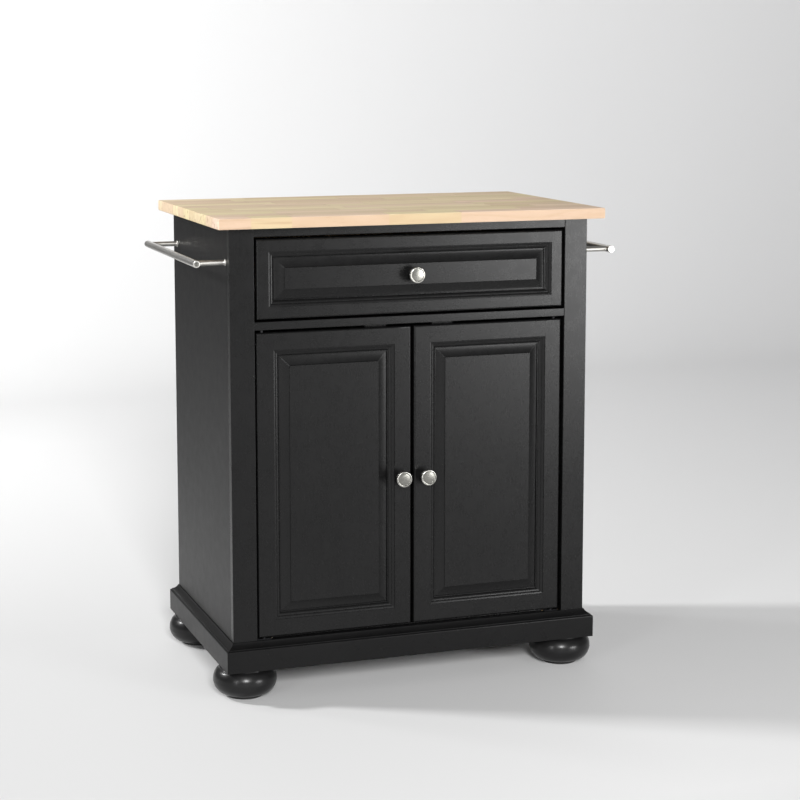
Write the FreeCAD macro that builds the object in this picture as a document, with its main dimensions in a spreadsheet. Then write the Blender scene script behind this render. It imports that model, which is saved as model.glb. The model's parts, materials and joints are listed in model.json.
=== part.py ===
import FreeCAD, Part
import math
import os
import Sketcher
from FreeCAD import Vector, Rotation, Placement

# Kitchen island cart: a lacquered cabinet with one drawer over two doors, a
# wooden work top, towel bars on both sides and four bun feet.
# Frame: origin on the floor under the centre of the work top, +X to the
# cabinet's right as seen from the front, +Y to the back, +Z up. Millimetres.

doc = FreeCAD.newDocument("IslandCart")
sheet = doc.addObject("Spreadsheet::Sheet", "sizes")

SIZES = [
    # work top
    ("top_width", 717.5), ("top_depth", 457.2), ("top_thick", 19.0), ("top_height", 851.0),
    ("top_edge", 2.2), ("top_corner", 4.0),
    # cabinet body
    ("body_half", 333.5), ("body_front", -203.6), ("body_back", 208.6),
    ("frame_thick", 18.0), ("stile_width", 43.5), ("side_thick", 15.0), ("base_floor", 55.5),
    ("top_rail_low", 816.0), ("mid_rail_low", 655.0), ("mid_rail_high", 669.5), ("low_rail_high", 104.0),
    ("floor_thick", 15.0), ("floor_front", -173.8), ("divider_depth", 45.0),
    ("sill_thick", 3.0), ("sill_lap", 2.0), ("sill_half", 258.0),
    ("back_thick", 4.0), ("back_inset", 3.0), ("rear_rail_thick", 16.0), ("rear_rail_low", 752.0),
    ("batten_low", 708.0), ("batten_high", 765.0), ("batten_end", 183.6),
    ("shelf_low", 372.0), ("shelf_thick", 15.0), ("shelf_front", -160.0), ("shelf_end", 199.0), ("shelf_gap", 1.5),
    ("pin_radius", 2.5), ("pin_front", -120.0), ("pin_rear", 150.0), ("pin_out", 9.0), ("pin_in", 9.0),
    ("pin_pitch", 32.0),
    # base moulding
    ("base_out", 15.0), ("base_face_top", 92.5), ("base_round", 3.0), ("base_step", 1.5),
    ("base_cove_in", 0.9), ("base_cove_radius", 17.0), ("base_top_out", 1.6), ("base_top", 106.4),
    ("block_size", 60.0),
    # bun feet
    ("foot_x", 304.0), ("foot_front_y", -167.0), ("foot_rear_y", 172.0), ("glide_thick", 2.5),
    ("glide_radius", 31.0), ("foot_lip", 33.5), ("foot_wide", 56.5), ("foot_belly", 30.5), ("foot_neck", 46.0),
    ("bolt_radius", 4.0), ("bolt_low", 16.0), ("bolt_high", 90.0),
    # drawer
    ("drawer_half", 286.0), ("drawer_low", 673.0), ("drawer_high", 812.0), ("drawer_thick", 18.5),
    ("drawer_flat", 21.5), ("box_half", 277.3), ("box_thick", 12.0), ("box_low", 684.0), ("box_high", 792.0),
    ("box_end", 155.0), ("box_floor_low", 692.0), ("box_floor_thick", 5.0), ("box_groove", 5.0),
    # slides
    ("rail_sheet", 1.2), ("rail_half", 20.0), ("rail_mid", 742.0), ("rail_reach", 9.5),
    ("rail_start", -182.5), ("rail_end", 172.0), ("runner_clear", 0.5), ("runner_reach", 9.3),
    ("runner_start", -171.0), ("runner_end", 153.0),
    # doors
    ("door_outer", 286.5), ("door_inner", 2.5), ("door_low", 109.0), ("door_high", 650.0),
    ("door_thick", 18.0), ("door_recess", 5.0), ("door_flat", 31.0),
    # frame-and-panel profile shared by the doors and the drawer front
    ("edge_round", 3.5), ("stick_width", 12.0), ("stick_quirk", 1.4), ("stick_depth", 7.2), ("stick_land", 1.0),
    ("stick_bead", 5.0), ("bead_fall", 1.6), ("bead_step", 0.9),
    ("groove_depth", 10.0), ("groove_front", 9.3), ("groove_back", 14.7), ("tongue_play", 1.0), ("tongue_skin", 0.1),
    ("panel_gap", 2.0), ("bevel_width", 15.0), ("field_back", 2.2), ("field_step", 1.3),
    # knobs
    ("knob_radius", 14.25), ("knob_neck", 5.5), ("knob_base", 7.5), ("knob_reach", 24.0), ("knob_rim", 8.0),
    ("knob_screw", 2.0), ("knob_grip", 14.0), ("drawer_knob_z", 742.5), ("door_knob_x", 23.0), ("door_knob_z", 379.0),
    # door pivots and catches
    ("pivot_in", 12.0), ("pivot_back", 9.0), ("pivot_pin", 3.0), ("pivot_play", 0.05), ("pivot_sink", 14.0),
    ("pivot_plate", 1.5), ("pivot_plate_half", 6.5),
    # towel bars
    ("bar_radius", 6.35), ("bar_out", 54.0), ("bar_z", 772.0), ("bar_end", 193.0), ("post_y", 180.0),
    ("post_radius", 4.75), ("post_flange", 6.2), ("post_flange_thick", 2.2), ("bar_screw", 2.0),
    # top brackets
    ("bracket_leg", 30.0), ("bracket_width", 24.0), ("bracket_thick", 2.0), ("bracket_y", 110.0),
]


class Dim:
    """A length that carries its sheet expression and its present value."""

    def __init__(self, text, value):
        self.text = text
        self.value = float(value)

    def _with(self, other, sign):
        other = dim(other)
        a, b = self.value, other.value
        value = {"+": a + b, "-": a - b, "*": a * b, "/": a / b if b else 0.0}[sign]
        return Dim("(%s %s %s)" % (self.text, sign, other.text), value)

    def __add__(self, other): return self._with(other, "+")
    def __sub__(self, other): return self._with(other, "-")
    def __mul__(self, other): return self._with(other, "*")
    def __truediv__(self, other): return self._with(other, "/")
    def __radd__(self, other): return dim(other)._with(self, "+")
    def __rsub__(self, other): return dim(other)._with(self, "-")
    def __rmul__(self, other): return dim(other)._with(self, "*")
    def __neg__(self): return dim(0)._with(self, "-")


def dim(x):
    return x if isinstance(x, Dim) else Dim(repr(float(x)) if x >= 0 else "(0 - %r)" % abs(float(x)), x)


class Sizes:
    pass


S = Sizes()
for row, (alias, value) in enumerate(SIZES, 1):
    sheet.set("A%d" % row, repr(value))
    sheet.setAlias("A%d" % row, alias)
    setattr(S, alias, Dim("sizes.%s" % alias, value))
doc.recompute()


# ---- helpers -------------------------------------------------------------

def bind(obj, prop, size):
    size = dim(size)
    obj.setExpression(prop, size.text)


def move(obj, x=0, y=0, z=0):
    for axis, size in (("x", x), ("y", y), ("z", z)):
        bind(obj, "Placement.Base." + axis, size)


def block(name, x0, x1, y0, y1, z0, z1):
    box = doc.addObject("Part::Box", name)
    bind(box, "Length", dim(x1) - x0)
    bind(box, "Width", dim(y1) - y0)
    bind(box, "Height", dim(z1) - z0)
    move(box, x0, y0, z0)
    return box


TURN = {"+Z": Rotation(), "-Z": Rotation(Vector(1, 0, 0), 180), "+X": Rotation(Vector(0, 1, 0), 90),
        "-X": Rotation(Vector(0, 1, 0), -90), "+Y": Rotation(Vector(1, 0, 0), -90), "-Y": Rotation(Vector(1, 0, 0), 90)}


def rod(name, radius, length, at, way):
    cyl = doc.addObject("Part::Cylinder", name)
    cyl.Placement = Placement(Vector(), TURN[way])
    bind(cyl, "Radius", radius)
    bind(cyl, "Height", length)
    move(cyl, *at)
    return cyl


def cut(name, base, *tools):
    for i, tool in enumerate(tools):
        op = doc.addObject("Part::Cut", name if i == len(tools) - 1 else "%s_cut%d" % (name, i))
        op.Base = base
        op.Tool = tool
        base = op
    return base


def fuse(name, *pieces):
    op = doc.addObject("Part::MultiFuse", name)
    op.Shapes = list(pieces)
    return op


def common(name, a, b):
    op = doc.addObject("Part::Common", name)
    op.Base = a
    op.Tool = b
    return op


def group(name, *pieces):
    op = doc.addObject("Part::Compound", name)
    op.Links = list(pieces)
    return op


def body(name):
    return doc.addObject("PartDesign::Body", name)


def draw(owner, role, path):
    """Closed outline on one of the body's own origin planes. path is a list of
    (a, b) corners; (a, b, centre_a, centre_b, radius) reaches the corner by an arc."""
    plane = [f for f in owner.Origin.OriginFeatures if f.Role == role][0]
    sk = owner.newObject("Sketcher::SketchObject", owner.Name + "_outline")
    sk.AttachmentSupport = [(plane, "")]
    sk.MapMode = "FlatFace"
    pts = [(dim(p[0]), dim(p[1])) for p in path]
    ends = []
    count = len(path)
    for i in range(count):
        a, b = pts[i - 1], pts[i]
        va, vb = Vector(a[0].value, a[1].value, 0), Vector(b[0].value, b[1].value, 0)
        if len(path[i]) == 2:
            g = sk.addGeometry(Part.LineSegment(va, vb), False)
            ends.append((g, 1, 2))
        else:
            c = Vector(dim(path[i][2]).value, dim(path[i][3]).value, 0)
            r = (va - c).Length
            t0, t1 = math.atan2(va.y - c.y, va.x - c.x), math.atan2(vb.y - c.y, vb.x - c.x)
            left = (va - c).cross(vb - c).z > 0
            circle = Part.Circle(c, Vector(0, 0, 1), r)
            if left:
                while t1 < t0:
                    t1 += 2 * math.pi
                g = sk.addGeometry(Part.ArcOfCircle(circle, t0, t1), False)
                ends.append((g, 1, 2))
            else:
                while t0 < t1:
                    t0 += 2 * math.pi
                g = sk.addGeometry(Part.ArcOfCircle(circle, t1, t0), False)
                ends.append((g, 2, 1))
    for i in range(count):
        g, s, e = ends[i]
        g2, s2, e2 = ends[(i + 1) % count]
        sk.addConstraint(Sketcher.Constraint("Coincident", g, e, g2, s2))
    for i in range(count):
        g, s, e = ends[i]
        for kind, size in (("DistanceX", pts[i][0]), ("DistanceY", pts[i][1])):
            n = sk.addConstraint(Sketcher.Constraint(kind, -1, 1, g, e, size.value))
            if "sizes." in size.text:
                sk.setExpression("Constraints[%d]" % n, size.text)
        if len(path[i]) == 5:
            radius = dim(path[i][4])
            n = sk.addConstraint(Sketcher.Constraint("Radius", g, radius.value))
            if "sizes." in radius.text:
                sk.setExpression("Constraints[%d]" % n, radius.text)
    return sk


def pad(owner, sk, length):
    op = owner.newObject("PartDesign::Pad", owner.Name + "_pad")
    op.Profile = sk
    bind(op, "Length", length)
    sk.Visibility = False
    return op


def turned(name, path, about="V_Axis", role="XZ_Plane"):
    b = body(name)
    sk = draw(b, role, path)
    op = b.newObject("PartDesign::Revolution", name + "_turn")
    op.Profile = sk
    op.ReferenceAxis = (sk, [about])
    op.Angle = 360.0
    return b


def prism(name, role, path, length, at=(0, 0, 0)):
    """Outline swept straight: XY goes up +Z, YZ goes to +X, XZ goes to -Y."""
    b = body(name)
    pad(b, draw(b, role, path), length)
    move(b, *at)
    return b


KEEP = []


def keep(obj, name=None):
    if name:
        obj.Label = name
    KEEP.append(obj)
    return obj


# ---- cabinet carcass ------------------------------------------------------

W = S.body_half
FRONT = S.body_front
FRAME_BACK = FRONT + S.frame_thick
OPEN = W - S.stile_width
INNER = W - S.side_thick
UNDER = S.top_height - S.top_thick
BACK = S.body_back
BACK_PANEL = BACK - S.back_inset - S.back_thick
RAIL_BACK = BACK_PANEL

top = body("butcher_block_top")
hw, hd = S.top_width / 2, S.top_depth / 2
rc = S.top_corner
outline = [(hw - rc, -hd), (hw, rc - hd, hw - rc, rc - hd, rc), (hw, hd - rc), (hw - rc, hd, hw - rc, hd - rc, rc),
           (rc - hw, hd), (-hw, hd - rc, rc - hw, hd - rc, rc), (-hw, rc - hd), (rc - hw, -hd, rc - hw, rc - hd, rc)]
pad(top, draw(top, "XY_Plane", outline), S.top_thick)
move(top, 0, 0, UNDER)
doc.recompute()
eased = []
for n, edge in enumerate(top.Tip.Shape.Edges, 1):
    box = edge.BoundBox
    if box.ZLength < 1e-6:
        eased.append("Edge%d" % n)
ease = top.newObject("PartDesign::Fillet", "top_eased_edges")
ease.Base = (top.Tip if top.Tip.Name != ease.Name else top.Group[1], eased)
bind(ease, "Radius", S.top_edge)
doc.recompute()
keep(top)


def side(name, s):
    """Side panel with two columns of shelf-pin holes and two towel-post screw holes."""
    x0 = INNER if s > 0 else -W
    panel = block(name + "_board", x0, x0 + S.side_thick, FRAME_BACK, BACK, S.base_floor, UNDER)
    holes = []
    inner = INNER * s
    for col, y in enumerate((S.pin_front, S.pin_rear)):
        for n in range(-2, 3):
            z = S.shelf_low - S.pin_radius + S.pin_pitch * n
            holes.append(rod("%s_hole_%d_%d" % (name, col, n + 2), S.pin_radius, S.pin_in + 1.0,
                             (inner - 1.0 * s, y, z), "+X" if s > 0 else "-X"))
    for n, y in enumerate((-S.post_y, S.post_y)):
        holes.append(rod("%s_screw_%d" % (name, n), S.bar_screw, S.side_thick + 2.0,
                         (inner - 1.0 * s, y, S.bar_z), "+X" if s > 0 else "-X"))
    return keep(cut(name, panel, fuse(name + "_holes", *holes)))


side("side_panel_left", -1)
side("side_panel_right", 1)

keep(block("back_panel", -INNER, INNER, BACK_PANEL, BACK_PANEL + S.back_thick, S.base_floor, UNDER))
# the bottom board is rebated along its front: a thin sill runs on under the doors and laps the rail
# between the door pivots, so no slot is left behind the rail
SILL_TOP = S.low_rail_high + S.sill_thick
keep(fuse("bottom_panel",
          block("bottom_board", -INNER, INNER, S.floor_front, BACK_PANEL, S.low_rail_high, S.low_rail_high + S.floor_thick),
          block("bottom_sill", -INNER, INNER, FRAME_BACK, S.floor_front + 1, S.low_rail_high, SILL_TOP),
          block("bottom_lap", -S.sill_half, S.sill_half, FRAME_BACK - S.sill_lap, FRAME_BACK + 1, S.low_rail_high, SILL_TOP)))
keep(block("face_stile_left", -W, -OPEN, FRONT, FRAME_BACK, S.base_floor, UNDER))
keep(block("face_stile_right", OPEN, W, FRONT, FRAME_BACK, S.base_floor, UNDER))
keep(block("face_rail_top", -OPEN, OPEN, FRONT, FRAME_BACK, S.top_rail_low, UNDER))
keep(block("rear_rail_top", -INNER, INNER, RAIL_BACK - S.rear_rail_thick, RAIL_BACK, S.rear_rail_low, UNDER))

# the middle and bottom rails take the door pivots' pins and plates
DOOR_FACE = FRONT + S.door_recess
PIVOT_X = S.door_outer - S.pivot_in
PIVOT_Y = DOOR_FACE + S.pivot_back
keep(block("face_rail_middle", -OPEN, OPEN, FRONT, FRONT + S.divider_depth, S.mid_rail_low, S.mid_rail_high))
keep(block("face_rail_bottom", -OPEN, OPEN, FRONT, FRAME_BACK, S.base_floor, S.low_rail_high))

keep(group("slide_battens",
           block("batten_l", -INNER, -OPEN, FRAME_BACK, S.batten_end, S.batten_low, S.batten_high),
           block("batten_r", OPEN, INNER, FRAME_BACK, S.batten_end, S.batten_low, S.batten_high)))

keep(block("adjustable_shelf", S.shelf_gap - INNER, INNER - S.shelf_gap, S.shelf_front, S.shelf_end,
           S.shelf_low, S.shelf_low + S.shelf_thick))
pins = []
for s in (-1, 1):
    for y in (S.pin_front, S.pin_rear):
        pins.append(rod("shelf_pin_%d" % len(pins), S.pin_radius, S.pin_in + S.pin_out,
                        ((INNER + S.pin_in) * s, y, S.shelf_low - S.pin_radius), "-X" if s > 0 else "+X"))
keep(group("shelf_pins", *pins))

# ---- base moulding and feet ------------------------------------------------

# outline in (out, z): square face, rounded shoulder, small step, cove up to the cabinet
f, r = S.base_out, S.base_round
ct = S.base_face_top + r
c1 = (f - r - S.base_cove_in, ct + S.base_step)
c2 = (S.base_top_out, S.base_top)


def cove_centre(p, q, radius):
    """Centre of the hollow arc from p to q, outside and above the moulding."""
    mx, my = (p[0].value + q[0].value) / 2, (p[1].value + q[1].value) / 2
    dx, dy = q[0].value - p[0].value, q[1].value - p[1].value
    half = math.hypot(dx, dy) / 2
    rise = math.sqrt(radius.value ** 2 - half ** 2)
    nx, ny = dy / (2 * half), -dx / (2 * half)
    return mx + nx * rise, my + ny * rise


cc = cove_centre(c1, c2, S.base_cove_radius)


def base_path(flip, origin):
    """The moulding's section, flip = -1 where outwards is the sketch's negative direction."""
    def at(e, z):
        return (origin + e * flip, dim(z))
    return [at(dim(0), S.base_floor), at(f, S.base_floor), at(f, S.base_face_top),
            at(f - r, ct) + (at(f - r, 0)[0], S.base_face_top, r),
            at(f - r, ct + S.base_step), at(*c1),
            at(*c2) + (origin.value + cc[0] * flip, cc[1], S.base_cove_radius),
            at(dim(0), S.base_top)]


def mitre(name, pts, z0, z1):
    return prism(name, "XY_Plane", pts, dim(z1) - z0, (0, 0, z0))


E = S.base_out
for name, y, flip in (("base_moulding_front", FRONT, -1), ("base_moulding_back", BACK, 1)):
    blank = prism(name + "_blank", "YZ_Plane", base_path(flip, y), (W + E) * 2, (-(W + E), 0, 0))
    # the mitred ends keep only what lies between the two 45 degree planes
    keepbox = mitre(name + "_mitre", [(-W, y), (W, y), (W + E, y + E * flip), (-(W + E), y + E * flip)],
                    S.base_floor - 1, S.base_top + 1)
    keep(common(name, blank, keepbox))
for name, x, flip in (("base_moulding_left", -W, -1), ("base_moulding_right", W, 1)):
    blank = prism(name + "_blank", "XZ_Plane", base_path(flip, x), BACK - FRONT + E * 2, (0, BACK + E, 0))
    keepbox = mitre(name + "_mitre", [(x, FRONT), (x, BACK), (x + E * flip, BACK + E), (x + E * flip, FRONT - E)],
                    S.base_floor - 1, S.base_top + 1)
    keep(common(name, blank, keepbox))

FEET = [("foot_front_left", -1, S.foot_front_y), ("foot_front_right", 1, S.foot_front_y),
        ("foot_rear_left", -1, S.foot_rear_y), ("foot_rear_right", 1, S.foot_rear_y)]


def bun(name):
    """Turned foot: a spline outline from the lip over the glide up to the neck."""
    lip, wide, neck = S.foot_lip.value, S.foot_wide.value, S.foot_neck.value
    low, belly, high = S.glide_thick.value, S.foot_belly.value, S.base_floor.value
    curve = Part.BSplineCurve()
    start = Vector(lip, 0, low + 2.6)
    curve.interpolate(Points=[start, Vector(lip + 11.5, 0, low + 6.6), Vector(wide - 3.2, 0, belly - 11.5),
                              Vector(wide, 0, belly + 1.0), Vector(wide - 1.9, 0, belly + 12.5),
                              Vector(neck + 3.2, 0, high - 3.6), Vector(neck, 0, high - 1.2)])
    def line(a, b):
        return Part.LineSegment(a, b).toShape()
    hub = S.bolt_radius.value
    c = [Vector(neck, 0, high), Vector(hub, 0, high), Vector(hub, 0, S.bolt_low.value), Vector(0, 0, S.bolt_low.value),
         Vector(0, 0, low), Vector(lip, 0, low)]
    wire = Part.Wire([curve.toShape(), line(Vector(neck, 0, high - 1.2), c[0]), line(c[0], c[1]), line(c[1], c[2]),
                      line(c[2], c[3]), line(c[3], c[4]), line(c[4], c[5]), line(c[5], start)])
    foot = doc.addObject("Part::Feature", name)
    foot.Shape = Part.Face(wire).revolve(Vector(), Vector(0, 0, 1), 360)
    return foot


glides, bolts, blocks = [], [], []
for name, s, y in FEET:
    foot = bun(name)
    move(foot, S.foot_x * s, y, 0)
    keep(foot)
    glides.append(rod("glide_" + name, S.glide_radius, S.glide_thick, (S.foot_x * s, y, 0), "+Z"))
    bolts.append(rod("bolt_" + name, S.bolt_radius, S.bolt_high - S.bolt_low, (S.foot_x * s, y, S.bolt_low), "+Z"))
    bore = rod("bore_" + name, S.bolt_radius, S.bolt_high - S.bolt_low, (S.foot_x * s, y, S.bolt_low), "+Z")
    x0 = INNER - S.block_size if s > 0 else -INNER
    y0 = FRAME_BACK if name.startswith("foot_front") else BACK_PANEL - S.block_size
    blank = block("corner_" + name, x0, x0 + S.block_size, y0, y0 + S.block_size, S.base_floor, S.low_rail_high)
    blocks.append(cut("corner_block_" + name, blank, bore))
keep(group("foot_glides", *glides))
keep(group("foot_bolts", *bolts))
keep(group("corner_blocks", *blocks))

# ---- frame-and-panel fronts ---------------------------------------------------

# Section of a stile or rail in (u, d): u runs from the outer edge towards the
# panel, d from the face into the wood. Rounded outer edge, flat, quirk,
# stepped pair of beads, a short land, and the groove that holds the panel.


def stick_path(flat, thick, place, rear_round=0.8):
    e, q, land, deep = S.edge_round, S.stick_quirk, S.stick_land, S.stick_depth
    inner = flat + S.stick_width
    run = S.stick_width - land
    # two beads with a small step between, each level with the face where it starts,
    # so the rails' ends close over them cleanly
    m, low1 = S.stick_bead, q + S.bead_fall
    r1 = (m * m + S.bead_fall * S.bead_fall) / (S.bead_fall * 2)
    low2 = low1 + S.bead_step
    run2, fall2 = run - m, deep - low2
    r2 = (run2 * run2 + fall2 * fall2) / (fall2 * 2)
    path = [(dim(0), thick), (dim(0), e), (e, dim(0), e, e, e), (flat, dim(0)), (flat, q),
            (flat + m, low1, flat, q + r1, r1), (flat + m, low2), (flat + run, deep, flat + m, low2 + r2, r2),
            (inner, deep), (inner, S.groove_front), (inner - S.groove_depth, S.groove_front),
            (inner - S.groove_depth, S.groove_back), (inner, S.groove_back), (inner, thick)]
    out = []
    for p in path:
        q2 = place(dim(p[0]), dim(p[1]))
        if len(p) == 5:
            q2 = q2 + place(dim(p[2]), dim(p[3])) + (p[4],)
        out.append(q2)
    return out


def panelled(prefix, x_outer_l, x_outer_r, z0, z1, face, flat, thick, names):
    """Five-piece front between two outer edges: stiles run full height, rails are coped to them."""
    left, right, top_name, low_name, panel_name = names
    tall = dim(z1) - z0
    inner = flat + S.stick_width
    stile = {}
    for name, x, s in ((left, x_outer_l, 1), (right, x_outer_r, -1)):
        raw = prism(name + "_raw", "XY_Plane", stick_path(flat, thick, lambda u, d: (x + u * s, face + d)), tall, (0, 0, z0))
        # the ends are rounded over like the long edge
        ends = []
        e = S.edge_round
        for tag, z, t in (("low", z0, 1), ("high", z1, -1)):
            nib = [(face - 1, z - 1.0 * t), (face + e, z - 1.0 * t), (face + e, dim(z)),
                   (face, z + e * t, face + e, z + e * t, e), (face - 1, z + e * t)]
            ends.append(prism(name + "_round_" + tag, "YZ_Plane", nib, inner + 2, ((x if s > 0 else x - inner) - 1, 0, 0)))
        stile[name] = cut(name, raw, *ends)
    rails = {}
    xa, xb = x_outer_l + flat, x_outer_r - flat
    for name, z, s in ((top_name, z1, -1), (low_name, z0, 1)):
        raw = prism(name + "_raw", "YZ_Plane", stick_path(flat, thick, lambda u, d: (face + d, z + u * s)), xb - xa, (xa, 0, 0))
        rails[name] = cut(name, raw, stile[left], stile[right])
    # raised panel: the tongue sits in the grooves, the bevel climbs to the field
    edge = inner - S.groove_depth + S.tongue_play
    tf, tb = S.groove_front + S.tongue_skin, S.groove_back - S.tongue_skin
    foot = inner + S.panel_gap
    crest = foot + S.bevel_width
    fb, fs = S.field_back, S.field_back + S.field_step
    def section(lo, hi, put):
        pts = [(lo + edge, tb), (lo + edge, tf), (lo + foot, tf), (lo + crest, fs), (lo + crest, fb),
               (hi - crest, fb), (hi - crest, fs), (hi - foot, tf), (hi - edge, tf), (hi - edge, tb)]
        return [put(a, face + d) for a, d in pts]
    up = prism(panel_name + "_across", "XY_Plane", section(x_outer_l, x_outer_r, lambda a, d: (a, d)), tall, (0, 0, z0))
    over = prism(panel_name + "_along", "YZ_Plane", section(dim(z0), dim(z1), lambda a, d: (d, a)),
                 x_outer_r - x_outer_l, (x_outer_l, 0, 0))
    panel = common(panel_name, up, over)
    return stile, rails, panel


def knob(name, hole_name, x, face, z):
    """Turned knob on a screw: base, waist, flat-faced disc with a rounded rim."""
    b = body(name)
    rim, reach = S.knob_radius, S.knob_reach
    t = S.knob_rim
    path = [(dim(0), -S.knob_grip), (S.knob_screw, -S.knob_grip), (S.knob_screw, dim(0)), (S.knob_base, dim(0)),
            (S.knob_base, dim(1.2)),
            (S.knob_neck, dim(3.2), S.knob_base, dim(3.2), dim(2.0)),
            (S.knob_neck, reach - t - 3.0), (rim - 3.0, reach - t - 0.4), (rim, reach - t + 2.6, rim - 3.0, reach - t + 2.6, dim(3.0)),
            (rim, reach - 1.6), (rim - 1.6, reach, rim - 1.6, reach - 1.6, dim(1.6)), (rim - 3.2, reach),
            (rim - 3.6, reach - 0.4), (dim(0), reach - 0.4)]
    sk = draw(b, "XY_Plane", path)
    op = b.newObject("PartDesign::Revolution", name + "_turn")
    op.Profile = sk
    op.ReferenceAxis = (sk, ["V_Axis"])
    op.Angle = 360.0
    b.Placement = Placement(Vector(), Rotation(Vector(1, 0, 0), 180))
    move(b, x, face, z)
    return b


def knob_bore(name, x, face, z, deep):
    return rod(name, S.knob_screw, deep, (x, face - 1, z), "+Y")


# drawer front
names = ("drawer_stile_left", "drawer_stile_right", "drawer_rail_top", "drawer_rail_bottom", "drawer_panel")
stile, rails, panel = panelled("drawer", -S.drawer_half, S.drawer_half, S.drawer_low, S.drawer_high, FRONT,
                               S.drawer_flat, S.drawer_thick, names)
FIELD = FRONT + S.field_back
keep(stile["drawer_stile_left"])
keep(stile["drawer_stile_right"])
keep(rails["drawer_rail_top"])
keep(rails["drawer_rail_bottom"])
panel.Label = "drawer_panel_blank"
keep(cut("drawer_front_panel", panel, knob_bore("drawer_knob_bore", dim(0), FIELD, S.drawer_knob_z, S.knob_grip + 1)),
     "drawer_panel")
keep(knob("drawer_knob", None, dim(0), FIELD, S.drawer_knob_z))

# drawer box: sides grooved for the bottom, front and back between the sides
BOX_FRONT = FRONT + S.drawer_thick
B, T = S.box_half, S.box_thick


def grooved(name, x0, x1, y0, y1, gx0, gx1, gy0, gy1):
    blank = block(name + "_board", x0, x1, y0, y1, S.box_low, S.box_high)
    groove = block(name + "_groove", gx0, gx1, gy0, gy1, S.box_floor_low, S.box_floor_low + S.box_floor_thick)
    return keep(cut(name, blank, groove))


G = S.box_groove
grooved("drawer_side_left", -B, T - B, BOX_FRONT, S.box_end, T - B - G, T - B + 1, BOX_FRONT + T - G, S.box_end - T + G)
grooved("drawer_side_right", B - T, B, BOX_FRONT, S.box_end, B - T - 1, B - T + G, BOX_FRONT + T - G, S.box_end - T + G)
grooved("drawer_box_front", T - B, B - T, BOX_FRONT, BOX_FRONT + T, T - B - 1, B - T + 1, BOX_FRONT + T - G, BOX_FRONT + T + 1)
grooved("drawer_box_back", T - B, B - T, S.box_end - T, S.box_end, T - B - 1, B - T + 1, S.box_end - T - 1, S.box_end - T + G)
keep(block("drawer_bottom", T - B - G, B - T + G, BOX_FRONT + T - G, S.box_end - T + G,
           S.box_floor_low, S.box_floor_low + S.box_floor_thick))

# slides: a channel on each batten and a smaller channel on the drawer side, nested with running clearance
H, M, P = S.rail_half, S.rail_mid, S.rail_sheet


def channel(x, s, reach, half):
    """C section in XZ: web at x, flanges reaching s * reach."""
    return [(x, M - half), (x + reach * s, M - half), (x + reach * s, M - half + P), (x + P * s, M - half + P),
            (x + P * s, M + half - P), (x + reach * s, M + half - P), (x + reach * s, M + half), (x, M + half)]


for name, s in (("slide_rail_left", -1), ("slide_rail_right", 1)):
    keep(prism(name, "XZ_Plane", channel(OPEN * s, -s, S.rail_reach, H), S.rail_end - S.rail_start, (0, S.rail_end, 0)))
runners = []
for name, s in (("runner_left", -1), ("runner_right", 1)):
    runners.append(prism(name, "XZ_Plane", channel(B * s, s, S.runner_reach, H - P - S.runner_clear),
                         S.runner_end - S.runner_start, (0, S.runner_end, 0)))
keep(group("drawer_runners", *runners))

# ---- doors -----------------------------------------------------------------------

pivots = []
for hand, s in (("left", -1), ("right", 1)):
    lo, hi = (-S.door_outer, -S.door_inner) if s < 0 else (S.door_inner, S.door_outer)
    outer, inner = "door_%s_stile_outer" % hand, "door_%s_stile_inner" % hand
    order = (outer, inner) if s < 0 else (inner, outer)
    names = tuple(n + "_plain" for n in order) + ("door_%s_rail_top" % hand, "door_%s_rail_bottom" % hand,
                                                  "door_%s_panel" % hand)
    stile, rails, panel = panelled("door_" + hand, lo, hi, S.door_low, S.door_high, DOOR_FACE, S.door_flat,
                                   S.door_thick, names)
    px = PIVOT_X * s
    bore = S.pivot_pin + S.pivot_play
    keep(cut(outer, stile[outer + "_plain"],
             rod(outer + "_bore_low", bore, S.pivot_sink + 2, (px, PIVOT_Y, S.door_low - 1), "+Z"),
             rod(outer + "_bore_high", bore, S.pivot_sink + 2, (px, PIVOT_Y, S.door_high + 1), "-Z")))
    kx = S.door_knob_x * s
    keep(cut(inner, stile[inner + "_plain"],
             knob_bore("door_%s_knob_bore" % hand, kx, DOOR_FACE, S.door_knob_z, S.knob_grip + 1)))
    keep(rails["door_%s_rail_top" % hand])
    keep(rails["door_%s_rail_bottom" % hand])
    keep(panel)
    keep(knob("door_%s_knob" % hand, None, kx, DOOR_FACE, S.door_knob_z))
    # strike plate for the magnetic catch, on the back of the top rail near the meeting edge
    bx = (S.door_inner + 60.0) * s
    keep(block("door_%s_strike" % hand, bx - 12, bx + 12, DOOR_FACE + S.door_thick, DOOR_FACE + S.door_thick + 1.2,
               S.door_high - 12, S.door_high - 2))
    # pivots: a plate let on to the rail and a pin that runs in the door
    ph = S.pivot_plate_half
    for tag, z, way in (("low", S.low_rail_high, 1), ("high", S.mid_rail_low, -1)):
        plate = block("pivot_plate_%s_%s" % (hand, tag), px - ph * 2, px + ph * 2, PIVOT_Y - 3.6, PIVOT_Y + 3.4,
                      z if way > 0 else z - S.pivot_plate, z + S.pivot_plate if way > 0 else z)
        reach = (S.door_low - S.low_rail_high if way > 0 else S.mid_rail_low - S.door_high) + S.pivot_sink
        pin = rod("pivot_pin_%s_%s" % (hand, tag), S.pivot_pin, reach, (px, PIVOT_Y, z), "+Z" if way > 0 else "-Z")
        pivots.append(fuse("pivot_%s_%s" % (hand, tag), plate, pin))
keep(group("door_pivots", *pivots))

catches = []
for hand, s in (("left", -1), ("right", 1)):
    bx = (S.door_inner + 60.0) * s
    y0 = DOOR_FACE + S.door_thick + 1.5
    catches.append(block("catch_" + hand, bx - 20, bx + 20, y0, y0 + 14, S.mid_rail_low - 15, S.mid_rail_low))
keep(group("door_catch_magnets", *catches), "door_catches")
# ---- towel bars --------------------------------------------------------------------

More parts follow.
